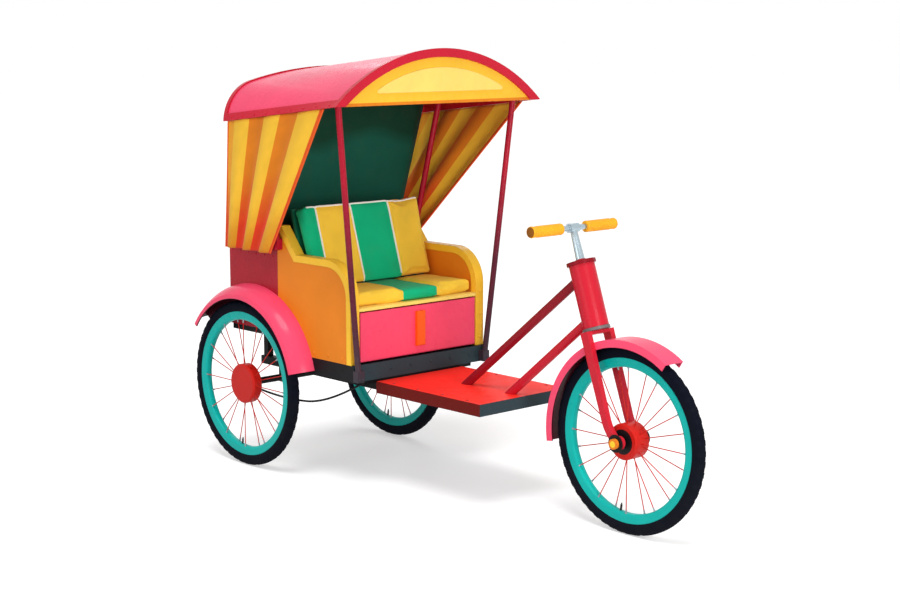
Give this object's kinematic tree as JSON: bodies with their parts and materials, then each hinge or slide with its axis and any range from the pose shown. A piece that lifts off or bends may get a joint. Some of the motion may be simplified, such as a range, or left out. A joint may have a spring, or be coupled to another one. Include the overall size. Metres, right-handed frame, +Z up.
{
  "type": "electric rickshaw",
  "caption": "Three-wheeled electric rickshaw with a padded bench under an arched canopy, pleated side curtains, a foot deck and a steered front wheel.",
  "frame": {"origin": "on the ground, midway between the axles, in the centre plane", "axes": "+X forward, +Y to the vehicle's left, +Z up"},
  "size_m": [2.562, 1.124, 1.8044],
  "materials": {
    "pink_paint": "gloss",
    "red_paint": "gloss",
    "dark_red_paint": "gloss",
    "orange_paint": "satin",
    "yellow_paint": "satin",
    "handle_paint": "gloss",
    "slate_paint": "satin",
    "deck_paint": "satin",
    "black_steel": "satin",
    "bright_steel": "brushed",
    "tyre_rubber": "matt",
    "teal_rim": "gloss",
    "hub_red": "gloss",
    "grip_rubber": "matt",
    "board_ply": "painted edge",
    "seat_cloth": "woven",
    "panel_cloth": "woven",
    "curtain_cloth": "pleated",
    "battery_case": "matt"
  },
  "bodies": {
    "chassis": {"rear_axle": "black_steel", "brake_cables": "black_steel", "chassis_rails": "black_steel", "cross_bearers": "black_steel", "box_frame": "black_steel", "deck": "deck_paint", "head_tube": "red_paint", "headset": "dark_red_paint", "upper_tube": "red_paint", "lower_tube": "red_paint", "rear_fenders": "pink_paint", "plinth": "slate_paint", "side_walls": "orange_paint", "side_trims": "yellow_paint", "seat_board": "board_ply", "back_board": "board_ply", "seat_cushion": "seat_cloth", "backrest": "seat_cloth", "battery": "battery_case", "flap_pins": "bright_steel", "rear_box": "dark_red_paint", "box_top": "dark_red_paint", "roof": "pink_paint", "roof_trim": "red_paint", "gable": "yellow_paint", "back_panel": "panel_cloth", "roof_rails": "dark_red_paint", "front_poles": "dark_red_paint", "rear_poles": "dark_red_paint", "curtains": "curtain_cloth"},
    "steering": {"fork": "red_paint", "front_axle": "yellow_paint", "handlebar": "bright_steel", "grips": "grip_rubber", "front_fender": "pink_paint"},
    "flap": {"seat_flap": "pink_paint", "flap_handle": "handle_paint"},
    "right_wheel": {"right_tyre": "tyre_rubber", "right_rim": "teal_rim", "right_hub": "hub_red"},
    "left_wheel": {"left_tyre": "tyre_rubber", "left_rim": "teal_rim", "left_hub": "hub_red"},
    "front_wheel": {"front_tyre": "tyre_rubber", "front_rim": "teal_rim", "front_hub": "hub_red"}
  },
  "joints": [
    {"name": "steering", "type": "hinge", "parent": "chassis", "child": "steering", "pos_m": [0.7506, 0, 0.7565], "axis": [-0.3249, 0, 0.9457], "range_deg": [-45, 45]},
    {"name": "front_wheel_spin", "type": "hinge", "parent": "steering", "child": "front_wheel", "pos_m": [0.921, 0, 0.36], "axis": [0, 1, 0], "continuous": true},
    {"name": "right_wheel_spin", "type": "hinge", "parent": "chassis", "child": "right_wheel", "pos_m": [-0.921, -0.419, 0.36], "axis": [0, 1, 0], "continuous": true},
    {"name": "left_wheel_spin", "type": "hinge", "parent": "chassis", "child": "left_wheel", "pos_m": [-0.921, 0.419, 0.36], "axis": [0, 1, 0], "continuous": true},
    {"name": "flap_hinge", "type": "hinge", "parent": "chassis", "child": "flap", "pos_m": [-0.269, 0, 0.536], "axis": [0, 1, 0], "range_deg": [0, 90]}
  ]
}
